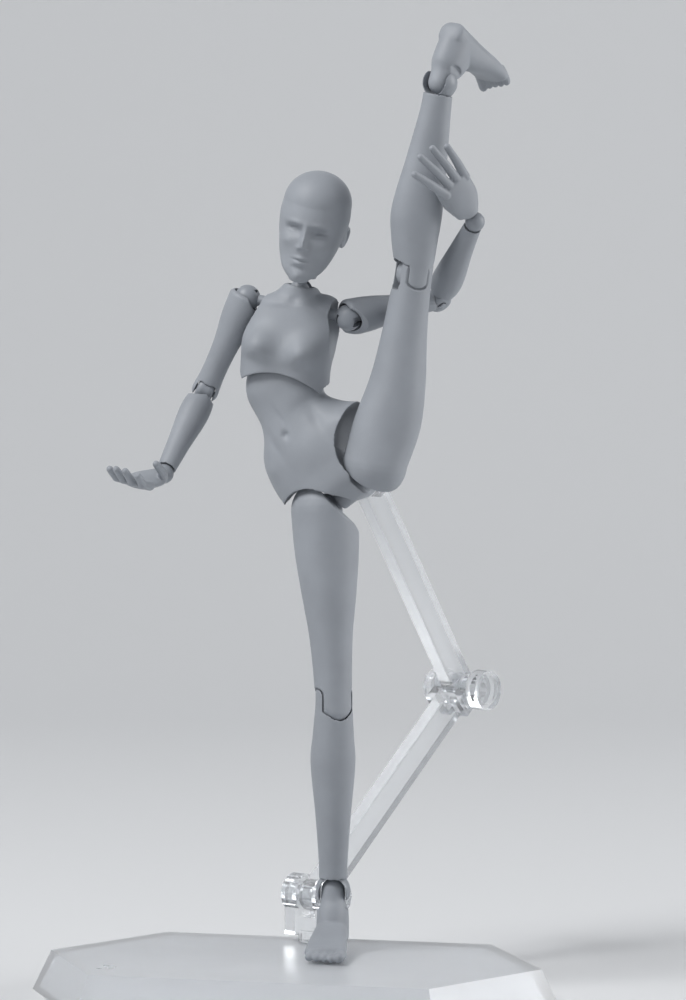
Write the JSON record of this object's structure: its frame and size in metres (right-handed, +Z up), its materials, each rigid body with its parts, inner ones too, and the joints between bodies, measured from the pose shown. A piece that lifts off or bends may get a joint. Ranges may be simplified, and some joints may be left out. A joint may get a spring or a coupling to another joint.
{
  "type": "jointed drawing figure on a stand",
  "caption": "Posable human figure for drawing practice, its limbs, waist, neck, hands and feet on ball and hinge joints, held at the back by a folding clear arm on a hexagonal base.",
  "frame": {"origin": "on the ground, under the middle of the whole object's box", "axes": "+Z up, +X to the viewer's right and +Y away from the viewer of the picture; the figure's back and the stand are on the +Y side"},
  "size_m": [0.0912, 0.0898, 0.1681],
  "materials": {
    "grey_plastic": "fine matte moulded plastic, cool mid grey",
    "joint_plastic": "smoother satin plastic of the joint balls and posts, a little darker grey",
    "clear_plastic": "polished clear plastic with bright edges"
  },
  "bodies": {
    "base": {"base": "clear_plastic"},
    "stand_post": {"stand_post": "clear_plastic", "lower_pin": "clear_plastic"},
    "lower_bar": {"lower_bar": "clear_plastic", "middle_knob": "clear_plastic", "middle_nut": "clear_plastic"},
    "upper_bar": {"upper_bar": "clear_plastic", "top_pin": "clear_plastic"},
    "stand_head": {"stand_head": "clear_plastic"},
    "back_peg": {"back_peg": "clear_plastic"},
    "lower_torso": {"lower_torso": "grey_plastic"},
    "waist_ball": {"waist_ball": "joint_plastic"},
    "waist_post": {"waist_post": "joint_plastic"},
    "chest": {"chest": "grey_plastic"},
    "neck_ball": {"neck_ball": "joint_plastic"},
    "neck_post": {"neck_post": "joint_plastic"},
    "head": {"head": "grey_plastic"},
    "right_shoulder_ball": {"right_shoulder_ball": "joint_plastic"},
    "right_shoulder_link": {"right_shoulder_link": "joint_plastic"},
    "right_upper_arm": {"right_upper_arm": "grey_plastic"},
    "right_elbow_joint": {"right_elbow_joint": "joint_plastic"},
    "right_forearm": {"right_forearm": "grey_plastic"},
    "right_wrist_ball": {"right_wrist_ball": "joint_plastic"},
    "right_hand": {"right_hand": "grey_plastic"},
    "left_shoulder_ball": {"left_shoulder_ball": "joint_plastic"},
    "left_shoulder_link": {"left_shoulder_link": "joint_plastic"},
    "left_upper_arm": {"left_upper_arm": "grey_plastic"},
    "left_elbow_joint": {"left_elbow_joint": "joint_plastic"},
    "left_forearm": {"left_forearm": "grey_plastic"},
    "left_wrist_ball": {"left_wrist_ball": "joint_plastic"},
    "left_hand": {"left_hand": "grey_plastic"},
    "right_hip_ball": {"right_hip_ball": "joint_plastic"},
    "right_hip_link": {"right_hip_link": "joint_plastic"},
    "right_thigh": {"right_thigh": "grey_plastic"},
    "right_shin": {"right_shin": "grey_plastic"},
    "right_ankle_joint": {"right_ankle_joint": "joint_plastic"},
    "right_foot": {"right_foot": "grey_plastic"},
    "left_hip_ball": {"left_hip_ball": "joint_plastic"},
    "left_hip_link": {"left_hip_link": "joint_plastic"},
    "left_thigh": {"left_thigh": "grey_plastic"},
    "left_shin": {"left_shin": "grey_plastic"},
    "left_ankle_joint": {"left_ankle_joint": "joint_plastic"},
    "left_foot": {"left_foot": "grey_plastic"}
  },
  "joints": [
    {"name": "post_turn", "type": "hinge", "parent": "base", "child": "stand_post", "pos_m": [0.0038, 0.00796, 0.0154], "axis": [0, 0, -1], "range_deg": [-90, 90]},
    {"name": "lower_bar_hinge", "type": "hinge", "parent": "stand_post", "child": "lower_bar", "pos_m": [0.0038, 0.00796, 0.0154], "axis": [-0.766, 0.6428, 0], "range_deg": [0, 30]},
    {"name": "middle_hinge", "type": "hinge", "parent": "lower_bar", "child": "upper_bar", "pos_m": [0.02959, 0.0387, 0.04848], "axis": [0.766, -0.6428, 0], "range_deg": [-80, 0]},
    {"name": "top_hinge", "type": "hinge", "parent": "upper_bar", "child": "stand_head", "pos_m": [0.01162, 0.01728, 0.08993], "axis": [-0.766, 0.6428, 0], "range_deg": [0, 60]},
    {"name": "peg_turn", "type": "hinge", "parent": "stand_head", "child": "back_peg", "pos_m": [0.01162, 0.01728, 0.09493], "axis": [0, 0, -1], "range_deg": [-60, 60]},
    {"name": "torso_roll", "type": "hinge", "parent": "back_peg", "child": "lower_torso", "pos_m": [0.00729, 0.00396, 0.09493], "axis": [-0.309, -0.9511, 0], "range_deg": [-60, 60]},
    {"name": "waist_lean", "type": "hinge", "parent": "lower_torso", "child": "waist_ball", "pos_m": [-0.00159, 0.00096, 0.10491], "axis": [0.309, 0.9511, 0], "range_deg": [-1.5, 3]},
    {"name": "waist_bow", "type": "hinge", "parent": "waist_ball", "child": "waist_post", "pos_m": [-0.00159, 0.00096, 0.10491], "axis": [-0.9366, 0.3043, 0.1736], "range_deg": [-3, 2]},
    {"name": "chest_turn", "type": "hinge", "parent": "waist_post", "child": "chest", "pos_m": [-0.00159, 0.00096, 0.10491], "axis": [0.1651, -0.0537, 0.9848], "range_deg": [-3, 4]},
    {"name": "neck_nod", "type": "hinge", "parent": "chest", "child": "neck_ball", "pos_m": [0.00122, 0.00005, 0.12165], "axis": [0.9515, -0.2541, -0.1734], "range_deg": [-30, 25]},
    {"name": "neck_lean", "type": "hinge", "parent": "neck_ball", "child": "neck_post", "pos_m": [0.00122, 0.00005, 0.12165], "axis": [0.273, 0.9573, 0.0949], "range_deg": [-30, 18]},
    {"name": "head_turn", "type": "hinge", "parent": "neck_post", "child": "head", "pos_m": [0.00267, -0.0011, 0.12902], "axis": [0.1915, -0.1507, 0.9698], "range_deg": [-80, 80]},
    {"name": "right_shoulder_swing", "type": "hinge", "parent": "chest", "child": "right_shoulder_ball", "pos_m": [-0.00805, 0.00255, 0.12019], "axis": [0.9515, -0.2541, -0.1734], "range_deg": [-8, 4]},
    {"name": "right_shoulder_spread", "type": "hinge", "parent": "right_shoulder_ball", "child": "right_shoulder_link", "pos_m": [-0.00805, 0.00255, 0.12019], "axis": [0.2665, 0.9624, 0.052], "range_deg": [0, 90]},
    {"name": "right_upper_arm_turn", "type": "hinge", "parent": "right_shoulder_link", "child": "right_upper_arm", "pos_m": [-0.00805, 0.00255, 0.12019], "axis": [0.41, -0.1621, 0.8976], "range_deg": [-60, 40]},
    {"name": "right_elbow_hinge", "type": "hinge", "parent": "right_upper_arm", "child": "right_elbow_joint", "pos_m": [-0.01543, 0.00547, 0.10404], "axis": [0.9062, -0.0389, -0.421], "range_deg": [-45, 90]},
    {"name": "right_forearm_turn", "type": "hinge", "parent": "right_elbow_joint", "child": "right_forearm", "pos_m": [-0.01543, 0.00547, 0.10404], "axis": [0.3647, 0.5755, 0.732], "range_deg": [-90, 90]},
    {"name": "right_wrist_hinge", "type": "hinge", "parent": "right_forearm", "child": "right_wrist_ball", "pos_m": [-0.02229, -0.00535, 0.09028], "axis": [-0.8588, 0.5116, 0.0257], "range_deg": [-60, 50]},
    {"name": "right_hand_turn", "type": "hinge", "parent": "right_wrist_ball", "child": "right_hand", "pos_m": [-0.02229, -0.00535, 0.09028], "axis": [0.5106, 0.851, 0.1231], "range_deg": [-90, 90]},
    {"name": "left_shoulder_swing", "type": "hinge", "parent": "chest", "child": "left_shoulder_ball", "pos_m": [0.00946, -0.00212, 0.117], "axis": [0.9515, -0.2541, -0.1734], "range_deg": [-3, 15]},
    {"name": "left_shoulder_spread", "type": "hinge", "parent": "left_shoulder_ball", "child": "left_shoulder_link", "pos_m": [0.00946, -0.00212, 0.117], "axis": [-0.0585, 0.4038, -0.913], "range_deg": [-3, 6]},
    {"name": "left_upper_arm_turn", "type": "hinge", "parent": "left_shoulder_link", "child": "left_upper_arm", "pos_m": [0.00946, -0.00212, 0.117], "axis": [-0.8655, -0.4762, -0.1552], "range_deg": [-20, 2]},
    {"name": "left_elbow_hinge", "type": "hinge", "parent": "left_upper_arm", "child": "left_elbow_joint", "pos_m": [0.02504, 0.00645, 0.1198], "axis": [0.4434, -0.5845, -0.6795], "range_deg": [-30, 10]},
    {"name": "left_forearm_turn", "type": "hinge", "parent": "left_elbow_joint", "child": "left_forearm", "pos_m": [0.02504, 0.00645, 0.1198], "axis": [0.3221, -0.6036, 0.7294], "range_deg": [-12, 30]},
    {"name": "left_wrist_hinge", "type": "hinge", "parent": "left_forearm", "child": "left_wrist_ball", "pos_m": [0.03109, -0.0049, 0.13351], "axis": [-0.1247, -0.7908, -0.5993], "range_deg": [-30, 8]},
    {"name": "left_hand_turn", "type": "hinge", "parent": "left_wrist_ball", "child": "left_hand", "pos_m": [0.03109, -0.0049, 0.13351], "axis": [0.4123, 0.5081, -0.7562], "range_deg": [-30, 18]},
    {"name": "right_hip_swing", "type": "hinge", "parent": "lower_torso", "child": "right_hip_ball", "pos_m": [0.00547, -0.00133, 0.08359], "axis": [-0.7595, 0.2468, -0.6018], "range_deg": [0, 50]},
    {"name": "right_hip_spread", "type": "hinge", "parent": "right_hip_ball", "child": "right_hip_link", "pos_m": [0.00547, -0.00133, 0.08359], "axis": [0.353, 0.9335, -0.0627], "range_deg": [-15, 20]},
    {"name": "right_thigh_turn", "type": "hinge", "parent": "right_hip_link", "child": "right_thigh", "pos_m": [0.00547, -0.00133, 0.08359], "axis": [-0.0445, 0.0837, 0.9955], "range_deg": [-25, 15]},
    {"name": "right_knee_hinge", "type": "hinge", "parent": "right_thigh", "child": "right_shin", "pos_m": [0.00694, -0.00409, 0.05074], "axis": [0.9428, 0.333, 0.0142], "range_deg": [-12, 0]},
    {"name": "right_ankle_turn", "type": "hinge", "parent": "right_shin", "child": "right_ankle_joint", "pos_m": [0.00678, -0.00224, 0.01779], "axis": [0.0048, -0.0561, 0.9984], "range_deg": [-60, 60]},
    {"name": "right_foot_hinge", "type": "hinge", "parent": "right_ankle_joint", "child": "right_foot", "pos_m": [0.00678, -0.00224, 0.01779], "axis": [-0.9945, 0.1046, 0.0106], "range_deg": [0, 8]},
    {"name": "left_hip_swing", "type": "hinge", "parent": "lower_torso", "child": "left_hip_ball", "pos_m": [0.01596, -0.00474, 0.09189], "axis": [-0.7595, 0.2468, -0.6018], "range_deg": [-1.5, 3]},
    {"name": "left_hip_spread", "type": "hinge", "parent": "left_hip_ball", "child": "left_hip_link", "pos_m": [0.01596, -0.00474, 0.09189], "axis": [0.3434, 0.9379, -0.0488], "range_deg": [-2, 0]},
    {"name": "left_thigh_turn", "type": "hinge", "parent": "left_hip_link", "child": "left_thigh", "pos_m": [0.01596, -0.00474, 0.09189], "axis": [-0.1384, -0.0008, -0.9904], "range_deg": [-20, 8]},
    {"name": "left_knee_hinge", "type": "hinge", "parent": "left_thigh", "child": "left_shin", "pos_m": [0.02052, -0.00471, 0.12458], "axis": [-0.3177, 0.9472, 0.0436], "range_deg": [-35, 0]},
    {"name": "left_ankle_turn", "type": "hinge", "parent": "left_shin", "child": "left_ankle_joint", "pos_m": [0.02509, -0.00468, 0.15726], "axis": [-0.1384, -0.0008, -0.9904], "range_deg": [-60, 60]},
    {"name": "left_foot_hinge", "type": "hinge", "parent": "left_ankle_joint", "child": "left_foot", "pos_m": [0.02509, -0.00468, 0.15726], "axis": [-0.7983, 0.5919, 0.111], "range_deg": [-30, 18]}
  ]
}
